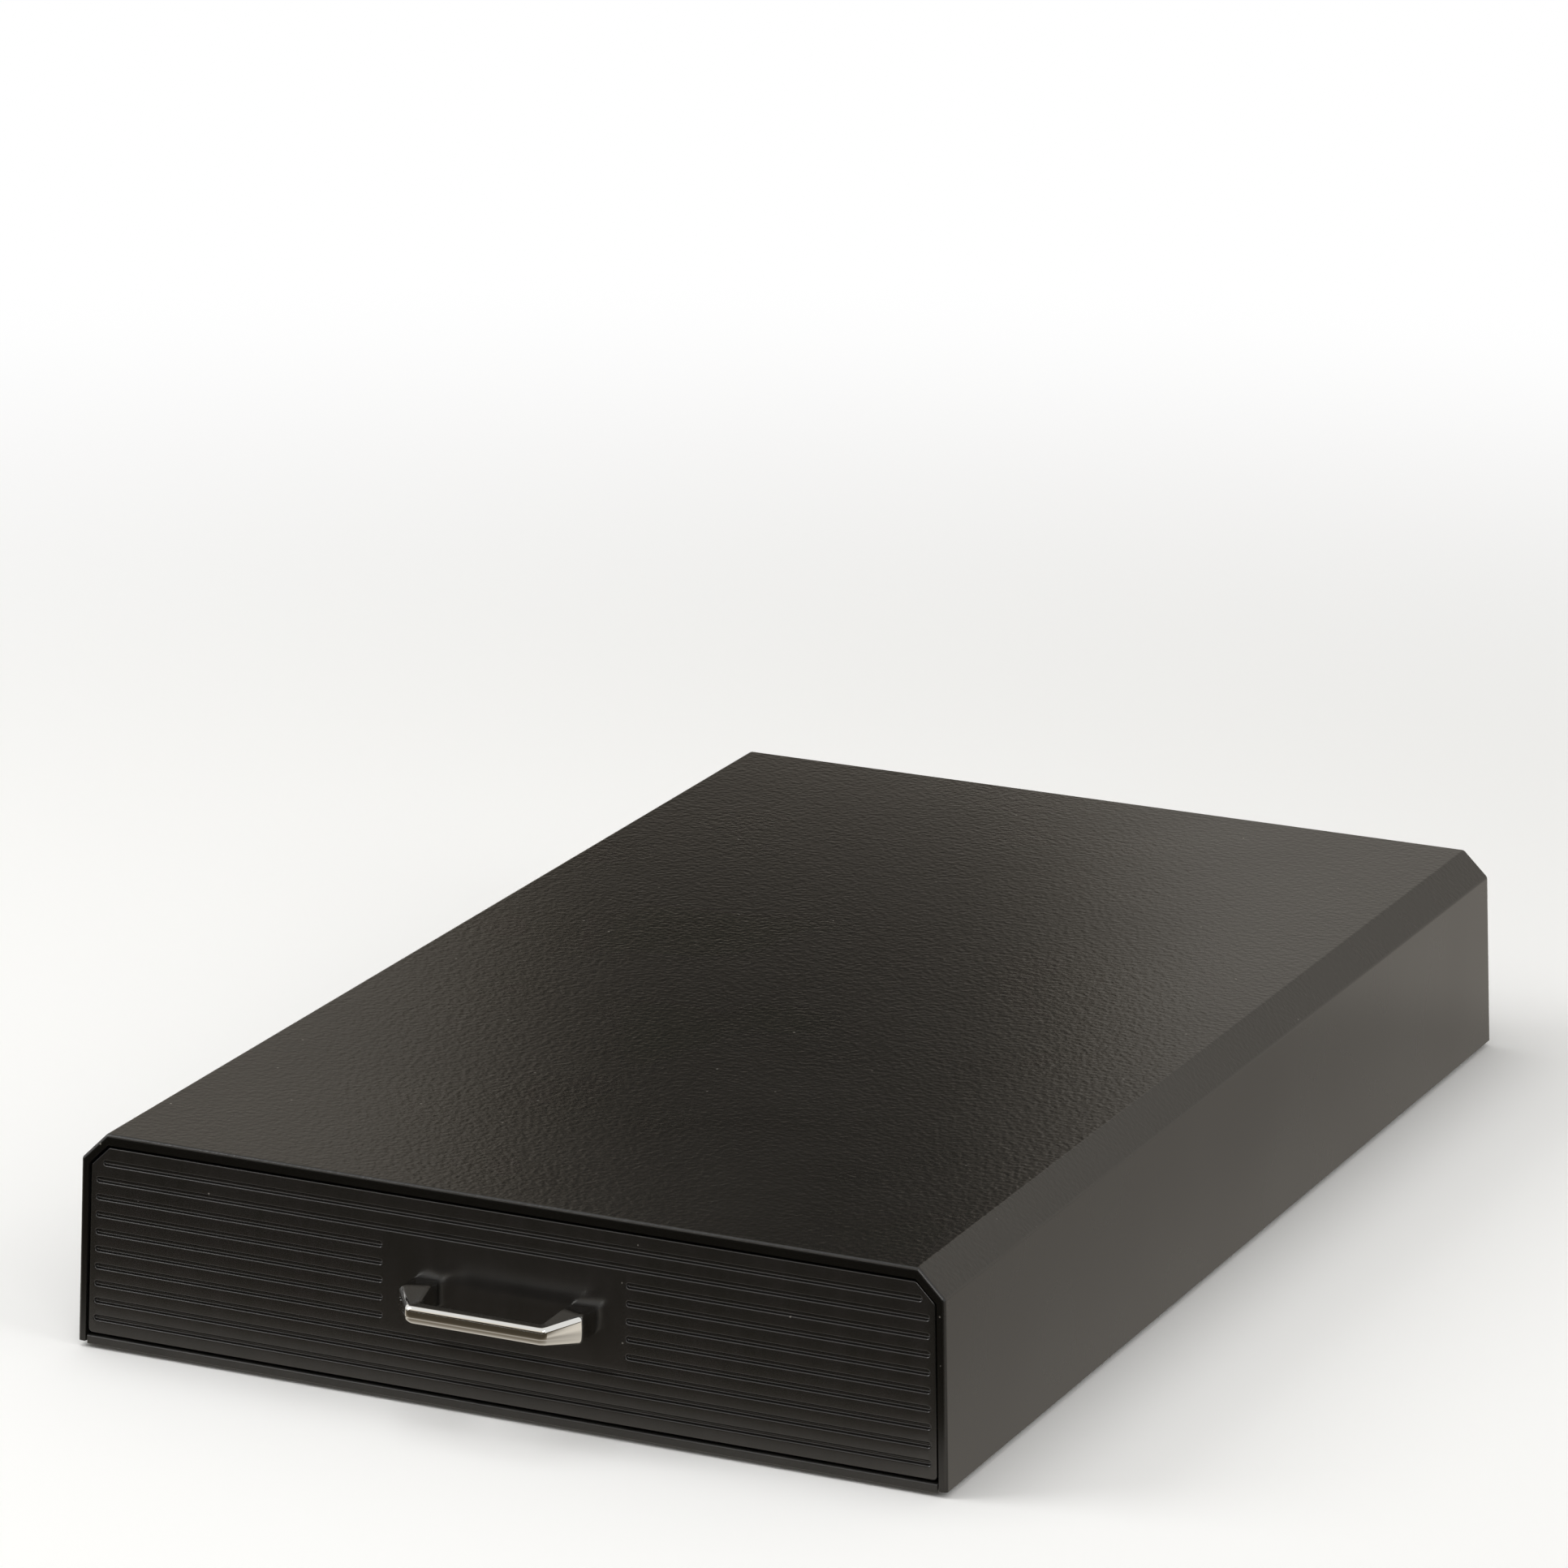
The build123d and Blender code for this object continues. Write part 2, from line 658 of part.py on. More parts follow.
def handle_screw(x):
    return pan_screw(x, handle_z, handle_screw_diameter, handle_screw_head, handle_screw_head_height,
                     handle_screw_tip(), front_plate_back)


# ---- all pieces ----------------------------------------------------------------------------------
os.makedirs("parts", exist_ok=True)

save("platform_shell", platform_shell())
save("base_plate", base_plate())
for foot_name, (foot_x, foot_y) in foot_places().items():
    save(foot_name, foot(foot_x, foot_y))

right_rail = runner_right()
save("runner_right", right_rail)
save("runner_left", mirror(right_rail, Plane.YZ))

shell_screw_spots, runner_screw_spots = plate_screw_spots()
save("base_screws", Compound([plate_screw(x, y) for x, y in shell_screw_spots]))
save("runner_screws", Compound([plate_screw(x, y) for x, y in runner_screw_spots]))

save("drawer_tray", drawer_tray())
for number, divider_x in enumerate(divider_places(), 1):
    save(f"lane_divider_{number}", lane_divider(divider_x))
save("drawer_front", drawer_front())
save("bow_handle", bow_handle())
save("front_screws", Compound([front_screw(x, z) for x, z in front_screw_spots()]))
save("handle_screws", Compound([handle_screw(x) for x in handle_screw_places()]))
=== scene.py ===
from math import cos, pi, radians, sin

import bmesh
import bpy
import numpy as np
from mathutils import Matrix, Vector


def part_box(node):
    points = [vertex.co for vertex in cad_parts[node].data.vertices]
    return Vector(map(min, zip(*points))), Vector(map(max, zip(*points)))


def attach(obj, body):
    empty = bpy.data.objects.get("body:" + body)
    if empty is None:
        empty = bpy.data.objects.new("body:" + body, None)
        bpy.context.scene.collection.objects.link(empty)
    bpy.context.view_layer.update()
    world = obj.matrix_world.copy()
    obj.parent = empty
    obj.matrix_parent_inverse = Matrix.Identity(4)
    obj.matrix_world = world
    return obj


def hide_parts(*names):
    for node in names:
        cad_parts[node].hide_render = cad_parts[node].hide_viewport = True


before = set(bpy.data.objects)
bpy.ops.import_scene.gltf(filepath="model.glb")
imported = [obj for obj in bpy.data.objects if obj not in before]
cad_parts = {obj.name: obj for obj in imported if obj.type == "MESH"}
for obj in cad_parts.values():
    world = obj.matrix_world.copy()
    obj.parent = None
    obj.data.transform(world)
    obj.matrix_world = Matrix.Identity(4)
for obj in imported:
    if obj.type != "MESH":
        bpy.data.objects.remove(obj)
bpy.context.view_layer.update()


# ---- studio -------------------------------------------------------------------------------------
# A pale table in plain soft light, with the camera where the photograph was taken from: well back,
# with a long lens, a little to the right of the drawer and above it.  Lengths are in metres.
def linear(code):
    """A colour written as sRGB hex, turned to the linear values that shaders take."""
    srgb = np.array([int(code[i:i + 2], 16) for i in (1, 3, 5)]) / 255
    value = np.where(srgb <= 0.04045, srgb / 12.92, ((srgb + 0.055) / 1.055) ** 2.4)
    return (*value.tolist(), 1.0)


def add(tree, kind, sockets=None, **settings):
    """Adds a node: settings are its properties, sockets its inputs, by name or number.

    An input gets a value, an output of another node, or a node, whose first output it takes.
    A Map Range takes, from 0 on: value, low, high, new low, new high."""
    made = tree.nodes.new(kind)
    for name, value in settings.items():
        setattr(made, name, value)
    for name, value in (sockets or {}).items():
        if isinstance(value, bpy.types.Node):
            value = value.outputs[0]
        if isinstance(value, bpy.types.NodeSocket):
            tree.links.new(value, made.inputs[name])
        else:
            made.inputs[name].default_value = value
    return made


def blank_material(name):
    """A new material and its empty node tree."""
    material = bpy.data.materials.new(name)
    material.use_nodes = True
    material.node_tree.nodes.clear()
    return material, material.node_tree


def sees_background(tree):
    """1 for rays that show the backdrop itself: straight, mirrored or refracted."""
    path = add(tree, "ShaderNodeLightPath").outputs
    straight_or_mirrored = add(tree, "ShaderNodeMath", {
        0: path["Is Camera Ray"], 1: path["Is Glossy Ray"],
    }, operation="MAXIMUM")
    return add(tree, "ShaderNodeMath", {
        0: straight_or_mirrored, 1: path["Is Transmission Ray"],
    }, operation="MAXIMUM")


def strip_faces(rows, columns, start=0, closed=False):
    """Quads of a grid of points stored row by row; closed joins the last column to the first."""
    last = columns if closed else columns - 1
    row, column = np.meshgrid(np.arange(rows - 1), np.arange(last), indexing="ij")
    after = (column + 1) % columns
    quads = np.stack([row * columns + column, row * columns + after,
                      (row + 1) * columns + after, (row + 1) * columns + column], axis=-1)
    return (quads.reshape(-1, 4) + start).tolist()


def smooth(value, low, high):
    """0 below low and 1 above high, with the rise 3s^2 - 2s^3 of the share s between them."""
    share = np.clip((value - low) / (high - low), 0, 1)
    return share * share * (3 - 2 * share)


def sheet(name, corner, across, along, material, steps=2):
    """A flat sheet of the studio: corner + u * across + v * along, with u and v from 0 to 1."""
    u, v = np.meshgrid(np.linspace(0, 1, steps), np.linspace(0, 1, steps), indexing="ij")
    points = np.array(corner) + u[..., None] * np.array(across) + v[..., None] * np.array(along)
    mesh = bpy.data.meshes.new(name)
    mesh.from_pydata(points.reshape(-1, 3).tolist(), [], strip_faces(steps, steps))
    mesh.materials.append(material)
    made = bpy.data.objects.new(name, mesh)
    bpy.context.scene.collection.objects.link(made)
    return made, points.reshape(-1, 3)


scene = bpy.context.scene
scene.view_settings.view_transform = "Standard"

ambient = 0.42
world = bpy.data.worlds.new("studio_air")
scene.world = world
world.use_nodes = True
sky = world.node_tree
sky.nodes.clear()
pale = add(sky, "ShaderNodeBackground", {"Color": linear("#ffffff"), "Strength": 1.0})
air = add(sky, "ShaderNodeBackground", {"Color": linear("#fffdf9"), "Strength": ambient})
seen = add(sky, "ShaderNodeMixShader", {0: sees_background(sky), 1: air, 2: pale})
add(sky, "ShaderNodeOutputWorld", {"Surface": seen})

# The table runs out into the white of the backdrop, a little beyond where its shadows end.  The
# paint that lights the object is a shade greyer than the paint that is seen.
table_half = 6.0
fade_start, fade_end = 0.40, 1.10
table_paint, tree = blank_material("white_table_paint")
radius = add(tree, "ShaderNodeVectorMath", {
    0: add(tree, "ShaderNodeTexCoord").outputs["Object"],
}, operation="LENGTH").outputs["Value"]
away = add(tree, "ShaderNodeMapRange", {0: radius, 1: fade_start, 2: fade_end, 3: 0.0, 4: 1.0},
           interpolation_type="SMOOTHSTEP")
near = add(tree, "ShaderNodeBsdfDiffuse", {"Color": linear("#fbfbfa")})
backdrop = add(tree, "ShaderNodeEmission", {"Color": linear("#ffffff"), "Strength": 1.0})
paint_seen = add(tree, "ShaderNodeMixShader", {0: away, 1: near, 2: backdrop})
paint_lit = add(tree, "ShaderNodeBsdfDiffuse", {"Color": linear("#dcdcda")})
paint = add(tree, "ShaderNodeMixShader", {0: sees_background(tree), 1: paint_lit, 2: paint_seen})
add(tree, "ShaderNodeOutputMaterial", {"Surface": paint})
sheet("table", (-table_half, -table_half, 0), (2 * table_half, 0, 0), (0, 2 * table_half, 0),
      table_paint)

# Flags: graded grey sheets that glow for mirrored rays alone: painted reflections, so that black
# plastic shows soft bands of light and dark, as it does between a studio's white and dark cloths.
# The dark ones are warmer.
reflection_glow, tree = blank_material("painted_reflection_glow")
tone = add(tree, "ShaderNodeAttribute", attribute_name="tone").outputs["Fac"]
warmth = add(tree, "ShaderNodeMix", {
    0: add(tree, "ShaderNodeMapRange", {0: tone, 1: 0.05, 2: 0.5, 3: 0.0, 4: 1.0}),
    6: linear("#ecd6b4"), 7: linear("#fff7eb"),
}, data_type="RGBA").outputs[2]
glow = add(tree, "ShaderNodeEmission", {"Color": warmth, "Strength": tone})
add(tree, "ShaderNodeOutputMaterial", {"Surface": glow})


def flag(name, corner, across, along, tone_at, steps=161):
    """A flag of painted reflection whose brightness at a point is tone_at(x, y, z), with 1 for
    white.
    """
    made, points = sheet(name, corner, across, along, reflection_glow, steps)
    values = made.data.attributes.new("tone", "FLOAT", "POINT").data
    values.foreach_set("value", tone_at(*points.T).astype(np.float32))
    for kind in ("camera", "diffuse", "transmission", "volume_scatter", "shadow"):
        setattr(made, "visible_" + kind, False)


def floor_tone(x, y, z):
    """Painted reflection: grey beside the drawer, lighter close to it and past its back.  Ahead of
    it the grey sinks with distance as an exponential, but for a painted light patch at the right,
    by the front's corner."""
    ahead = -0.186 - y
    in_front = 0.08 + 0.78 * np.exp(-np.maximum(ahead, 0) / 0.026)
    patch = smooth(x, 0.085, 0.125) * (1 - smooth(ahead, 0.02, 0.05))
    in_front = in_front + (0.9 - in_front) * patch
    beside = 0.60 - 0.14 * smooth(np.abs(x), 0.115, 0.18) + 0.24 * smooth(y, 0.20, 0.27)
    return np.where(ahead > 0, in_front, beside)


def back_tone(x, y, z):
    """Painted reflection: grey that lightens to the right, white at its far edges, with a soft
    painted dark field left of the middle."""
    grey = 0.42 + 0.10 * smooth(x, -0.25, -0.05) + 0.14 * smooth(x, 0.05, 0.35)
    edge = np.maximum(smooth(np.abs(x), 0.9, 1.4), smooth(z, 1.3, 1.6))
    grey = grey + (1.0 - grey) * edge
    dark_across = smooth(x, -0.37, -0.27) * smooth(-x, 0.06, 0.14)
    dark_up = smooth(z, 0.11, 0.19) * smooth(-z, -1.5, -1.1)
    return grey * (1 - 0.985 * dark_across * dark_up)


def room_tone(x, y, z):
    """Painted reflection: dark up to about 16 degrees above the drawer, white from about 28
    degrees.
    """
    return 0.06 + 0.94 * smooth(z, 0.85, 1.55)


flag("floor_reflection_sheet", (-1.6, -1.6, 0.0003), (3.2, 0, 0), (0, 3.2, 0), floor_tone, 641)
flag("back_reflection_sheet", (-1.4, 0.45, 0.0), (2.8, 0, 0), (0, 0, 1.6), back_tone)
flag("room_reflection_sheet", (-3.5, -2.9, 0.0), (7.0, 0, 0), (0, 0, 2.6), room_tone)

# Four soft lamps aimed at the drawer: name, place, width, height, watts, and whether glossy
# surfaces mirror them.
aim = Vector((0, 0, 0.03))
for name, place, width, height, watts, mirrored in (
        ("softbox_left", (-1.35, -0.75, 1.20), 0.9, 0.9, 12, True),
        ("softbox_right", (1.7, -0.3, 1.0), 0.9, 1.2, 8, False),
        ("softbox_above", (-0.35, -0.15, 1.8), 1.2, 1.2, 10, False),
        ("softbox_front_right", (1.0, -1.4, 1.3), 0.6, 0.6, 4, True)):
    lamp = bpy.data.lights.new(name, "AREA")
    lamp.shape = "RECTANGLE"
    lamp.size, lamp.size_y, lamp.energy = width, height, watts
    holder = bpy.data.objects.new(name, lamp)
    scene.collection.objects.link(holder)
    holder.location = place
    holder.rotation_euler = (aim - Vector(place)).to_track_quat("-Z", "Y").to_euler()
    holder.visible_glossy = mirrored

camera_place = Vector((0.79246, -1.79643, 0.68586))
camera_yaw = 24.0745
camera_pitch = 16.2841
camera_roll = 0.8190
camera_lens = 181.69

yaw, pitch, roll = radians(camera_yaw), radians(camera_pitch), radians(camera_roll)
forward = Vector((-sin(yaw) * cos(pitch), cos(yaw) * cos(pitch), -sin(pitch)))
level = Vector((cos(yaw), sin(yaw), 0))
upward = level.cross(forward)
right = cos(roll) * level + sin(roll) * upward
up = -sin(roll) * level + cos(roll) * upward
turned = Matrix((right, up, -forward)).transposed().to_4x4()
camera = bpy.data.objects.new("camera", bpy.data.cameras.new("camera"))
camera.data.lens = camera_lens
camera.data.clip_start, camera.data.clip_end = 0.05, 50
camera.matrix_world = Matrix.Translation(camera_place) @ turned
scene.collection.objects.link(camera)
scene.camera = camera


# ---- platform shell -----------------------------------------------------------------------------
# One injection-moulded ABS shell, open to the front and below.  Its top is spark eroded to a fine
# pebble that hides scratches and breaks its gloss up; it fades out over the shoulders.  The walls
# are plain satin with faint upright flow streaks, and the rim round the mouth is nearly polished;
# its colour there, on the faces that look forward, is painted darker as shade.
mm = 0.001


def set_finish(names, material):
    """The CAD nodes so named get the material in place of their plain one."""
    for name in names:
        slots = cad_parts[name].data.materials
        slots.clear()
        slots.append(material)


def object_place(tree, scale=(1, 1, 1)):
    """Object coordinates, stretched."""
    place = add(tree, "ShaderNodeTexCoord").outputs["Object"]
    return add(tree, "ShaderNodeMapping", {"Vector": place, "Scale": scale})


def dust(tree, spacing, share):
    """Small specks: the given share of the cells of a Voronoi pattern, picked by their random
    value, each near its middle."""
    cells = add(tree, "ShaderNodeTexVoronoi", {
        "Vector": object_place(tree), "Scale": 1 / spacing,
    }).outputs
    chance = add(tree, "ShaderNodeSeparateColor", {0: cells["Color"]})
    picked = add(tree, "ShaderNodeMapRange", {
        0: chance, 1: 1 - share, 2: 1 - share + 0.01, 3: 0.0, 4: 1.0,
    })
    near = add(tree, "ShaderNodeMapRange", {
        0: cells["Distance"], 1: 0.045, 2: 0.075, 3: 1.0, 4: 0.0,
    })
    return add(tree, "ShaderNodeMath", {0: picked, 1: near}, operation="MULTIPLY")


pebble_size = 1.5 * mm        # drawn about twice as coarse as the real spark texture, to show
pebble_height = 0.16 * mm
satin_size = 0.3 * mm
streak_size = 14 * mm
haze_size = 60 * mm

shell_abs, tree = blank_material("spark_textured_black_abs")
facing = add(tree, "ShaderNodeSeparateXYZ", {
    0: add(tree, "ShaderNodeTexCoord").outputs["Normal"],
}).outputs
pebbled = add(tree, "ShaderNodeMapRange", {0: facing["Z"], 1: 0.5, 2: 0.95, 3: 0.0, 4: 1.0})
# Mask of the faces that look forward, round the mouth: it lowers their roughness, and darkens their
# colour as painted shade.
polish_and_shade = add(tree, "ShaderNodeMapRange", {0: facing["Y"], 1: -0.85, 2: -0.98, 3: 0.0, 4: 1.0})
pebble = add(tree, "ShaderNodeTexNoise", {
    "Vector": object_place(tree), "Scale": 1 / pebble_size, "Detail": 1.5, "Roughness": 0.5,
})
satin = add(tree, "ShaderNodeTexNoise", {
    "Vector": object_place(tree), "Scale": 1 / satin_size, "Detail": 1.0,
})
streaks = add(tree, "ShaderNodeTexNoise", {
    "Vector": object_place(tree, (1, 1, 0.06)), "Scale": 1 / streak_size,
    "Detail": 3.0, "Roughness": 0.6,
})
haze = add(tree, "ShaderNodeTexNoise", {
    "Vector": object_place(tree), "Scale": 1 / haze_size, "Detail": 1.0,
})
tone = add(tree, "ShaderNodeMix", {
    0: add(tree, "ShaderNodeMapRange", {0: streaks, 1: 0.3, 2: 0.7, 3: 0.0, 4: 1.0}),
    6: linear("#181715"), 7: linear("#1b1a18"),
}, data_type="RGBA").outputs[2]
# Painted shade: the faces that look forward take a darker colour.
tone = add(tree, "ShaderNodeMix", {
    0: polish_and_shade, 6: tone, 7: linear("#0b0b0a"),
}, data_type="RGBA").outputs[2]
tone = add(tree, "ShaderNodeMix", {
    0: dust(tree, 5 * mm, 0.16), 6: tone, 7: linear("#6b6862"),
}, data_type="RGBA").outputs[2]
rough_side = add(tree, "ShaderNodeMath", {
    0: add(tree, "ShaderNodeMapRange", {0: haze, 1: 0.3, 2: 0.7, 3: 0.25, 4: 0.30}),
    1: add(tree, "ShaderNodeMapRange", {0: streaks, 1: 0.3, 2: 0.7, 3: -0.006, 4: 0.008}),
}, operation="ADD")
rough_top = add(tree, "ShaderNodeMapRange", {0: haze, 1: 0.3, 2: 0.7, 3: 0.26, 4: 0.30})
rough = add(tree, "ShaderNodeMix", {0: pebbled, 2: rough_side, 3: rough_top})
rough = add(tree, "ShaderNodeMix", {0: polish_and_shade, 2: rough, 3: 0.15})
bump = add(tree, "ShaderNodeBump", {"Strength": 0.15, "Distance": 0.02 * mm, "Height": satin})
height = add(tree, "ShaderNodeMath", {0: pebble, 1: pebbled}, operation="MULTIPLY")
bump = add(tree, "ShaderNodeBump", {
    "Strength": 1.0, "Distance": pebble_height, "Height": height, "Normal": bump,
})
plastic = add(tree, "ShaderNodeBsdfPrincipled", {
    "Base Color": tone, "Roughness": rough, "Normal": bump, "IOR": 1.52,
})
add(tree, "ShaderNodeOutputMaterial", {"Surface": plastic})
set_finish(["platform_shell"], shell_abs)


# ---- base plate ---------------------------------------------------------------------------------
# A plain moulded ABS plate, screwed up into the shell from below.  Its front edge is the thin strip
# under the drawer.  It is satin all over, with faint flow streaks from front to back.
base_abs, tree = blank_material("satin_black_abs")
flow = add(tree, "ShaderNodeTexNoise", {
    "Vector": object_place(tree, (1, 0.1, 1)), "Scale": 1 / (9 * mm), "Detail": 3.0,
})
grain = add(tree, "ShaderNodeTexNoise", {
    "Vector": object_place(tree), "Scale": 1 / (0.35 * mm),
})
tone = add(tree, "ShaderNodeMix", {
    0: add(tree, "ShaderNodeMapRange", {0: flow, 1: 0.35, 2: 0.65, 3: 0.0, 4: 1.0}),
    6: linear("#232221"), 7: linear("#2a2927"),
}, data_type="RGBA").outputs[2]
rough = add(tree, "ShaderNodeMapRange", {0: flow, 1: 0.3, 2: 0.7, 3: 0.38, 4: 0.46})
bump = add(tree, "ShaderNodeBump", {"Strength": 0.2, "Distance": 0.03 * mm, "Height": grain})
plastic = add(tree, "ShaderNodeBsdfPrincipled", {
    "Base Color": tone, "Roughness": rough, "Normal": bump, "IOR": 1.52,
})
add(tree, "ShaderNodeOutputMaterial", {"Surface": plastic})
set_finish(["base_plate"], base_abs)


# ---- rubber pads --------------------------------------------------------------------------------
# Four black rubber discs, pressed into round recesses of the plate.  Rubber is matt and faintly
# grainy, with hardly any shine.
rubber, tree = blank_material("black_rubber")
grain = add(tree, "ShaderNodeTexNoise", {
    "Vector": object_place(tree), "Scale": 1 / (0.5 * mm), "Detail": 4.0,
})
tone = add(tree, "ShaderNodeMix", {
    0: grain, 6: linear("#1b1b1b"), 7: linear("#2a2a29"),
}, data_type="RGBA").outputs[2]
bump = add(tree, "ShaderNodeBump", {"Strength": 0.4, "Distance": 0.05 * mm, "Height": grain})
skin = add(tree, "ShaderNodeBsdfPrincipled", {
    "Base Color": tone, "Roughness": 0.85, "Normal": bump, "IOR": 1.52,
})
add(tree, "ShaderNodeOutputMaterial", {"Surface": skin})
set_finish([f"foot_{end}_{side}" for end in ("front", "back") for side in ("left", "right")],
           rubber)


# ---- guide rails --------------------------------------------------------------------------------
# Moulded rails of dark acetal, screwed to the plate.  Acetal slides well without grease: it looks
# slightly waxy, with streaks where the drawer's rails have rubbed along it.
acetal, tree = blank_material("dark_acetal")
rubbed = add(tree, "ShaderNodeTexNoise", {
    "Vector": object_place(tree, (1, 0.02, 1)), "Scale": 1 / (1.2 * mm), "Detail": 4.0,
})
tone = add(tree, "ShaderNodeMix", {
    0: add(tree, "ShaderNodeMapRange", {0: rubbed, 1: 0.4, 2: 0.7, 3: 0.0, 4: 1.0}),
    6: linear("#2c2c2c"), 7: linear("#3a3a39"),
}, data_type="RGBA").outputs[2]
rough = add(tree, "ShaderNodeMapRange", {0: rubbed, 1: 0.3, 2: 0.7, 3: 0.3, 4: 0.42})
bump = add(tree, "ShaderNodeBump", {"Strength": 0.15, "Distance": 0.03 * mm, "Height": rubbed})
wax = add(tree, "ShaderNodeBsdfPrincipled", {
    "Base Color": tone, "Roughness": rough, "Normal": bump, "IOR": 1.48,
})
add(tree, "ShaderNodeOutputMaterial", {"Surface": wax})
set_finish(["runner_left", "runner_right"], acetal)


# ---- screws -------------------------------------------------------------------------------------
# Steel screws with bright zinc plating: a cool metal, slightly cloudy and uneven in its shine.
zinc, tree = blank_material("zinc_plated_steel")
cloud = add(tree, "ShaderNodeTexNoise", {
    "Vector": object_place(tree), "Scale": 1 / (1.5 * mm), "Detail": 5.0,
})
tone = add(tree, "ShaderNodeMix", {
    0: cloud, 6: linear("#a9abab"), 7: linear("#c9cbc8"),
}, data_type="RGBA").outputs[2]
rough = add(tree, "ShaderNodeMapRange", {0: cloud, 1: 0.3, 2: 0.7, 3: 0.22, 4: 0.4})
bump = add(tree, "ShaderNodeBump", {"Strength": 0.2, "Distance": 0.02 * mm, "Height": cloud})
metal = add(tree, "ShaderNodeBsdfPrincipled", {
    "Base Color": tone, "Metallic": 1.0, "Roughness": rough, "Normal": bump,
})
add(tree, "ShaderNodeOutputMaterial", {"Surface": metal})
set_finish(["base_screws", "runner_screws", "front_screws", "handle_screws"], zinc)


# ---- drawer tray and lane dividers --------------------------------------------------------------
# The open tray and the four dividers that drop into its slots are moulded in the same black ABS.
# It is satin inside and out, with fine scuffs from front to back where pods slide.
tray_abs, tree = blank_material("satin_tray_abs")
flow = add(tree, "ShaderNodeTexNoise", {
    "Vector": object_place(tree, (1, 0.15, 1)), "Scale": 1 / (6 * mm), "Detail": 4.0,
})
scuff = add(tree, "ShaderNodeTexNoise", {
    "Vector": object_place(tree, (1, 0.05, 1)), "Scale": 1 / (0.8 * mm), "Detail": 2.0,
})
tone = add(tree, "ShaderNodeMix", {
    0: add(tree, "ShaderNodeMapRange", {0: flow, 1: 0.35, 2: 0.65, 3: 0.0, 4: 1.0}),
    6: linear("#262524"), 7: linear("#2d2c2a"),
}, data_type="RGBA").outputs[2]
rough = add(tree, "ShaderNodeMapRange", {0: flow, 1: 0.3, 2: 0.7, 3: 0.42, 4: 0.52})
bump = add(tree, "ShaderNodeBump", {"Strength": 0.2, "Distance": 0.03 * mm, "Height": scuff})
plastic = add(tree, "ShaderNodeBsdfPrincipled", {
    "Base Color": tone, "Roughness": rough, "Normal": bump, "IOR": 1.52,
})
add(tree, "ShaderNodeOutputMaterial", {"Surface": plastic})
set_finish(["drawer_tray"] + [f"lane_divider_{number}" for number in range(1, 5)], tray_abs)


# ---- drawer front -------------------------------------------------------------------------------
# The moulded ABS front fills the shell's mouth; it is screwed to the tray, and a flange all round
# its back stiffens it.  Ten soft-lipped grooves run across, and the middle five stop at a bare
# field round the handle.
def as_piece(name, points, faces, material, body):
    """Makes a closed mesh of the points and faces and lets it ride on a body."""
    mesh = bpy.data.meshes.new(name)
    mesh.from_pydata(points.tolist(), [], faces)
    mesh.materials.append(material)
    tidy = bmesh.new()
    tidy.from_mesh(mesh)
    bmesh.ops.remove_doubles(tidy, verts=tidy.verts, dist=0.001 * mm)
    bmesh.ops.recalc_face_normals(tidy, faces=tidy.faces)
    tidy.to_mesh(mesh)
    tidy.free()
    mesh.shade_smooth()
    piece = bpy.data.objects.new(name, mesh)
    bpy.context.scene.collection.objects.link(piece)
    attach(piece, body)
    return piece


front_low_corner, front_high_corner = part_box("drawer_front")
front_y, front_back_y = front_low_corner.y, front_high_corner.y
front_z0, front_z1 = front_low_corner.z, front_high_corner.z
front_half_low = front_high_corner.x
side_slope = 1.6 / 48.0       # lean of the side walls, the shell's draft over its wall height
front_brace = 161.07 * mm     # half width and height add up to this along the shoulder
groove_count = 10
groove_margin = 4.15 * mm     # middle of the outer grooves to the upper and lower edges
groove_half = 1.05 * mm
groove_depth = 1.0 * mm
lip_round = 0.42 * mm
groove_end_margin = 1.2 * mm
bare_half = 32.4 * mm         # half width of the bare field
bare_rows = range(3, 8)       # grooves that it breaks, counted from the top
edge_round = 0.45 * mm
corner_round = 1.2 * mm
flange_wall = 1.8 * mm
plate_thickness = 2.6 * mm


def front_half(z, inset=0.0):
    """Half width of the front at height z, inset all round by a distance.

    A disc as large as the corners' rounding rolls round inside the leaning sides and the 45 degree
    shoulders; the half width is the furthest that the disc reaches at that height."""
    radius = corner_round - inset
    z = np.asarray(z, dtype=float)[..., None]
    middle = np.clip(z + radius * np.linspace(-1, 1, 241),
                     front_z0 + corner_round, front_z1 - corner_round)
    side = front_half_low - side_slope * (middle - front_z0) - corner_round
    shoulder = front_brace - middle - corner_round * 2 ** 0.5
    reach = np.sqrt(np.maximum(radius ** 2 - (middle - z) ** 2, 0))
    return np.max(np.minimum(side, shoulder) + reach, axis=-1)


def groove_depth_at(distance):
    """Depth of a groove at a distance from its middle line.

    The lip turns down through a quarter circle; inside it the channel is half an ellipse that
    starts at the lip's foot."""
    channel_half = groove_half - lip_round
    lip = np.clip((groove_half - distance) / lip_round, 0, 1)
    channel = np.clip(distance / channel_half, 0, 1)
    inside = lip_round + (groove_depth - lip_round) * np.sqrt(1 - channel ** 2)
    return np.where(distance < channel_half, inside, lip_round * (1 - np.sqrt(1 - lip ** 2)))


def groove_sink(x, z):
    """Depth of the front's surface at x, z: that of the deepest groove there, by the distance to
    its middle line, which runs from end to end or from the bare field to an end."""
    sink = np.zeros_like(x)
    for row, middle in enumerate(groove_z, 1):
        line_end = front_half(middle + groove_half) - groove_end_margin - groove_half
        line_start = bare_half + groove_half if row in bare_rows else 0.0
        nearest = np.clip(np.abs(x), line_start, line_end)
        sink = np.maximum(sink, groove_depth_at(np.hypot(np.abs(x) - nearest, z - middle)))
    return sink


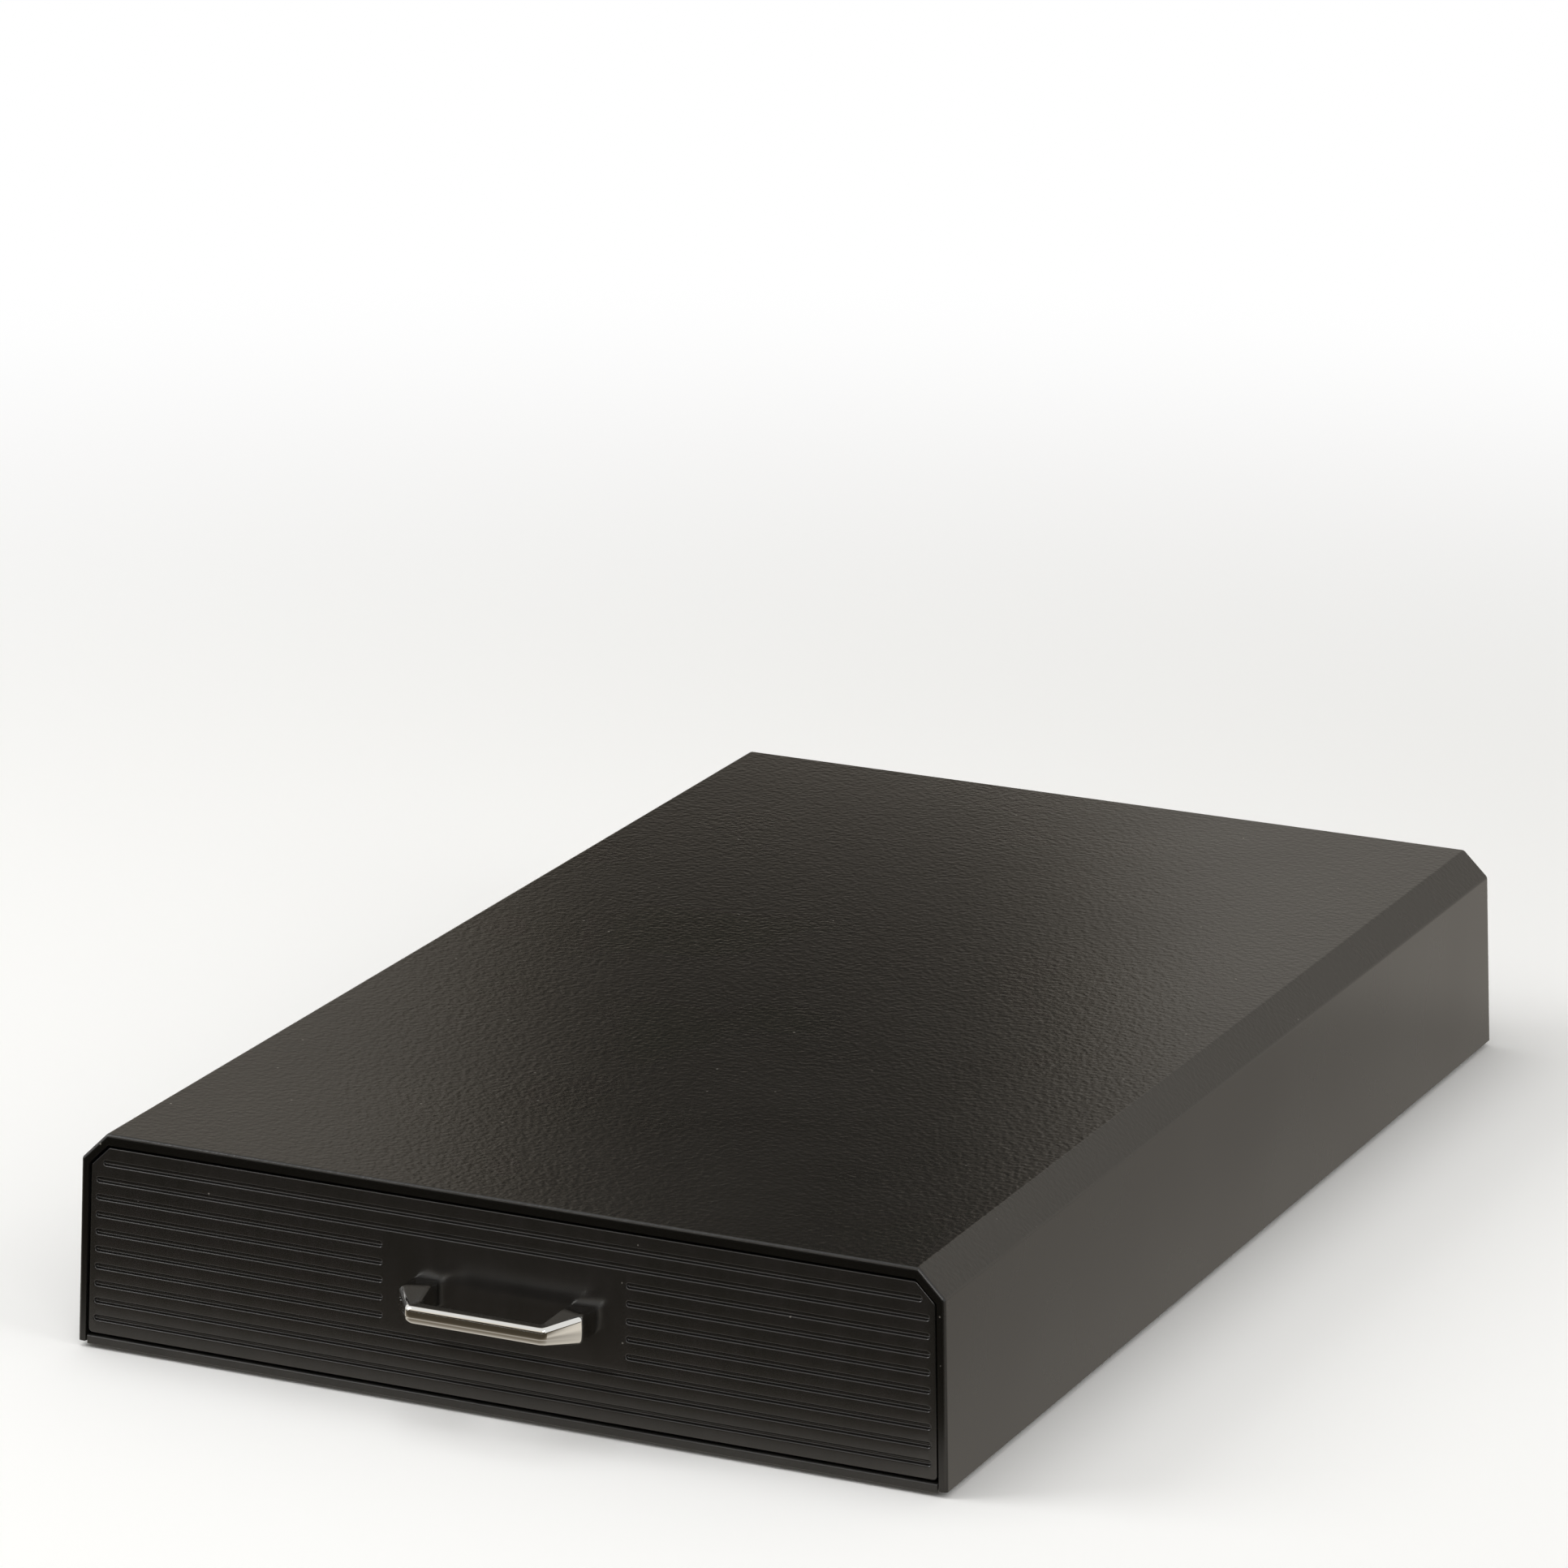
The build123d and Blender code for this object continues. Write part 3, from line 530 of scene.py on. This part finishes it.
# The face is a grid: its rows crowd at the lips, the channels, the corners and the shoulders, its
# columns at the grooves' ends.
groove_z = np.linspace(front_z1 - groove_margin, front_z0 + groove_margin, groove_count)
lip_turn = groove_half - lip_round * np.sin(np.linspace(0, pi / 2, 7))
channel_turn = (groove_half - lip_round) * np.cos(np.linspace(0.03, pi / 2, 9))
across_groove = np.concatenate([-lip_turn, -channel_turn, channel_turn[:-1], lip_turn])
corner_turn = (corner_round - edge_round) * (1 - np.cos(np.linspace(0, pi / 2, 7)))
shoulder_height = (front_half_low - front_brace + side_slope * front_z0) / (side_slope - 1)
face_z = np.concatenate([
    (groove_z[:, None] + across_groove).ravel(), (groove_z[:-1] + groove_z[1:]) / 2,
    front_z0 + edge_round + corner_turn, front_z1 - edge_round - corner_turn,
    shoulder_height + np.linspace(-0.6, 0.6, 7) * mm,
])
face_z = np.unique(np.round(face_z, 7))
near_bare = bare_half + np.linspace(-0.3, 2.4, 28) * mm
inner_x = np.concatenate([[0, 10 * mm, 20 * mm, 30 * mm], near_bare, np.linspace(38, 98, 7) * mm])
from_edge = np.concatenate([[9, 6, 4.4], np.linspace(3.6, 0.6, 30), [0.3, 0.0]]) * mm

grid_z = face_z[:, None]
half = front_half(face_z, edge_round)[:, None]
inner = np.broadcast_to(inner_x, (len(face_z), len(inner_x)))
right_x = np.concatenate([inner, half - from_edge], axis=1)
grid_x = np.concatenate([-right_x[:, :0:-1], right_x], axis=1)
grid_z = np.broadcast_to(grid_z, grid_x.shape)
face = np.stack([grid_x, front_y + groove_sink(grid_x, grid_z), grid_z], axis=-1)
rows, columns = grid_x.shape
front_points = [face.reshape(-1, 3)]
front_faces = strip_faces(rows, columns)

# The rim: the outline of the face, taken back over its rounded edge to the flange, in along the
# flange's end, forward to the back of the plate and across it.
outline = np.concatenate([face[0, :-1], face[:-1, -1], face[-1, :0:-1], face[:0:-1, 0]])
ahead = np.roll(outline, -1, axis=0) - outline
behind = outline - np.roll(outline, 1, axis=0)
ahead /= np.linalg.norm(ahead, axis=1, keepdims=True)
behind /= np.linalg.norm(behind, axis=1, keepdims=True)
out_ahead = np.stack([ahead[:, 2], 0 * ahead[:, 0], -ahead[:, 0]], axis=1)
out_behind = np.stack([behind[:, 2], 0 * behind[:, 0], -behind[:, 0]], axis=1)
mitre = (out_ahead + out_behind) / (1 + np.sum(out_ahead * out_behind, axis=1, keepdims=True))
turn = np.linspace(0, pi / 2, 6)
rim_out = np.concatenate([
    edge_round * np.sin(turn), [edge_round, edge_round - flange_wall, edge_round - flange_wall],
])
rim_y = np.concatenate([
    front_y + edge_round * (1 - np.cos(turn)),
    [front_back_y, front_back_y, front_y + plate_thickness],
])
rings = outline[None] + rim_out[:, None, None] * mitre[None]
rings[1:, :, 1] = rim_y[1:, None]
start = rows * columns
front_points.append(rings.reshape(-1, 3))
front_faces += strip_faces(len(rim_out), len(outline), start, closed=True)
last_ring = start + (len(rim_out) - 1) * len(outline)
front_faces.append(list(range(last_ring, last_ring + len(outline)))[::-1])

# Semi-gloss ABS, a little shinier than the shell: it mirrors the table softly, and its upright flow
# marks hardly show.
front_abs, tree = blank_material("semi_gloss_black_abs")
flow = add(tree, "ShaderNodeTexNoise", {
    "Vector": object_place(tree, (1, 1, 0.12)), "Scale": 1 / (3.5 * mm),
    "Detail": 4.0, "Roughness": 0.6,
})
grain = add(tree, "ShaderNodeTexNoise", {
    "Vector": object_place(tree), "Scale": 1 / (0.4 * mm), "Detail": 1.0,
})
haze = add(tree, "ShaderNodeTexNoise", {
    "Vector": object_place(tree), "Scale": 1 / (25 * mm), "Detail": 3.0,
})
tone = add(tree, "ShaderNodeMix", {
    0: add(tree, "ShaderNodeMapRange", {0: flow, 1: 0.35, 2: 0.65, 3: 0.0, 4: 1.0}),
    6: linear("#1c1b19"), 7: linear("#211f1e"),
}, data_type="RGBA").outputs[2]
tone = add(tree, "ShaderNodeMix", {
    0: dust(tree, 4 * mm, 0.12), 6: tone, 7: linear("#6e6b66"),
}, data_type="RGBA").outputs[2]
rough = add(tree, "ShaderNodeMapRange", {0: haze, 1: 0.3, 2: 0.7, 3: 0.18, 4: 0.24})
bump = add(tree, "ShaderNodeBump", {"Strength": 0.12, "Distance": 0.02 * mm, "Height": grain})
plastic = add(tree, "ShaderNodeBsdfPrincipled", {
    "Base Color": tone, "Roughness": rough, "Normal": bump, "IOR": 1.60,
})
add(tree, "ShaderNodeOutputMaterial", {"Surface": plastic})
front_piece = as_piece("grooved_front", np.concatenate(front_points), front_faces,
                       front_abs, "drawer")
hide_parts("drawer_front")


# ---- bow handle ---------------------------------------------------------------------------------
# A zinc die-cast bow, polished and chrome plated, held by a screw in each foot.  Its square bar
# turns at two bends into legs that widen and deepen to the feet, with every long edge well rounded.
handle_low, handle_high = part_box("bow_handle")
handle_z = (handle_low.z + handle_high.z) / 2
face_crown = 0.10 * mm        # bulge of the outer face
foot_y = handle_high.y
bar_y = handle_low.y + face_crown
half_span = handle_high.x
half_bar = 18.3 * mm
bar_thick = 4.4 * mm
end_depth = 7.0 * mm          # straight part of each foot's outer side
foot_width = 7.0 * mm
half_height_bar = 2.4 * mm
half_height_foot = 3.8 * mm
edge_bar = 1.35 * mm          # rounding of the long edges
edge_low = 2.0 * mm           # and of the outer lower one
bend_steps = 14


def bend(before, corner, after, radius, steps):
    """Points of the arc that rounds a corner between two straight stretches.

    Its middle lies on the line that halves the corner, at radius / sin(half the angle) from it;
    its points are middle + first * cos(t) + side * sin(t), with side square to first."""
    to_before = (before - corner) / np.linalg.norm(before - corner)
    to_after = (after - corner) / np.linalg.norm(after - corner)
    half_angle = np.arccos(np.clip(to_before @ to_after, -1, 1)) / 2
    halving = (to_before + to_after) / np.linalg.norm(to_before + to_after)
    middle = corner + halving * radius / np.sin(half_angle)
    first = corner + to_before * radius / np.tan(half_angle) - middle
    last = corner + to_after * radius / np.tan(half_angle) - middle
    angle = np.linspace(0, pi - 2 * half_angle, steps)[:, None]
    side = last - first * (first @ last) / (radius ** 2)
    side *= radius / np.linalg.norm(side)
    return middle + first * np.cos(angle) + side * np.sin(angle)


# The outer and the inner line of the right half in plan, point for point, then mirrored.
foot_corner = np.array([half_span, foot_y])
knee = np.array([half_span, foot_y - end_depth])
corner = np.array([half_bar, bar_y])
middle = np.array([0.0, bar_y])
inner_foot = np.array([half_span - foot_width, foot_y])
inner_corner = np.array([half_bar - bar_thick / 2, bar_y + bar_thick])
inner_middle = np.array([0.0, bar_y + bar_thick])
knee_arc = bend(foot_corner, knee, corner, 1.6 * mm, bend_steps)
corner_arc = bend(knee, corner, middle, 2.6 * mm, bend_steps)
inner_arc = bend(inner_foot, inner_corner, inner_middle, 1.0 * mm, bend_steps)
leg_share = np.linspace(0.35, 0.5, bend_steps)[:, None]
inner_leg = inner_foot + (inner_arc[0] - inner_foot) * leg_share
outer = np.concatenate([foot_corner[None], knee_arc, corner_arc, middle[None]])
inner = np.concatenate([inner_foot[None], inner_leg, inner_arc, inner_middle[None]])
spread = np.clip((outer[:, 0] - half_bar) / (half_span - half_bar), 0, 1)
half_height = half_height_bar + (half_height_foot - half_height_bar) * spread
outer = np.concatenate([outer, outer[-2::-1] * (-1, 1)])
inner = np.concatenate([inner, inner[-2::-1] * (-1, 1)])
half_height = np.concatenate([half_height, half_height[-2::-1]])

# Each section is a rounded rectangle from the inner line to the outer line, its outer face slightly
# crowned.  A point lies along * width + inward * rounding from the inner line, and high * half the
# height + lower * rounding above the middle.  The section is drawn as four corners, each with the
# flat after it: outer upper, outer lower, inner lower, inner upper.
width = np.linalg.norm(outer - inner, axis=1)
turn = np.linspace(0, pi / 2, 9)
flat_share = np.linspace(0.94, -0.94, 9)
across_share = (flat_share + 1) / 2
one, none = np.ones(9), np.zeros(9)
along, inward, high, lower, crown, edge = [], [], [], [], [], []
for side_a, side_b, turn_a, turn_b, flat_a, flat_inward, flat_b, flat_lower, bulge, ends in (
        (1, 1, np.sin(turn) - 1, np.cos(turn) - 1,
         one, none, flat_share, -flat_share, 1, (edge_bar, edge_low)),
        (1, -1, np.cos(turn) - 1, 1 - np.sin(turn),
         across_share, 1 - 2 * across_share, -one, none, 0, (edge_low, edge_bar)),
        (0, -1, 1 - np.sin(turn), 1 - np.cos(turn),
         none, none, -flat_share, flat_share, 0, (edge_bar, edge_bar)),
        (0, 1, 1 - np.cos(turn), np.sin(turn) - 1,
         across_share[::-1], 1 - 2 * across_share[::-1], one, none, 0, (edge_bar, edge_bar))):
    along += [side_a * one, flat_a]
    inward += [turn_a, flat_inward]
    high += [side_b * one, flat_b]
    lower += [turn_b, flat_lower]
    crown += [none, bulge * (1 - flat_share ** 2)]
    edge += [ends[0] * one, ends[0] + (ends[1] - ends[0]) * (1 - flat_share) / 2]
along, inward, high, lower, crown, edge = (
    np.concatenate(part)[None] for part in (along, inward, high, lower, crown, edge))
reach = along * width[:, None] + inward * edge + crown * face_crown
rise = high * half_height[:, None] + lower * edge
direction = (outer - inner) / width[:, None]
flat = inner[:, None] + direction[:, None] * reach[..., None]
handle_points = np.stack([flat[..., 0], flat[..., 1], handle_z + rise], axis=-1)
stations, around = handle_points.shape[:2]
handle_faces = strip_faces(stations, around, closed=True)
handle_faces.append(list(range(around))[::-1])
handle_faces.append(list(range((stations - 1) * around, stations * around)))

# Bright chrome mirrors its surroundings; a very low ripple under the plating bends them a little.
chrome, tree = blank_material("polished_chrome_plate")
ripple = add(tree, "ShaderNodeTexNoise", {
    "Vector": object_place(tree), "Scale": 1 / (4 * mm), "Detail": 1.0,
})
bump = add(tree, "ShaderNodeBump", {"Strength": 0.15, "Distance": 0.03 * mm, "Height": ripple})
plating = add(tree, "ShaderNodeBsdfPrincipled", {
    "Base Color": linear("#d9d8d4"), "Metallic": 1.0, "Roughness": 0.06, "Normal": bump,
})
add(tree, "ShaderNodeOutputMaterial", {"Surface": plating})
handle_piece = as_piece("chromed_bow", handle_points.reshape(-1, 3), handle_faces,
                        chrome, "drawer")
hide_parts("bow_handle")
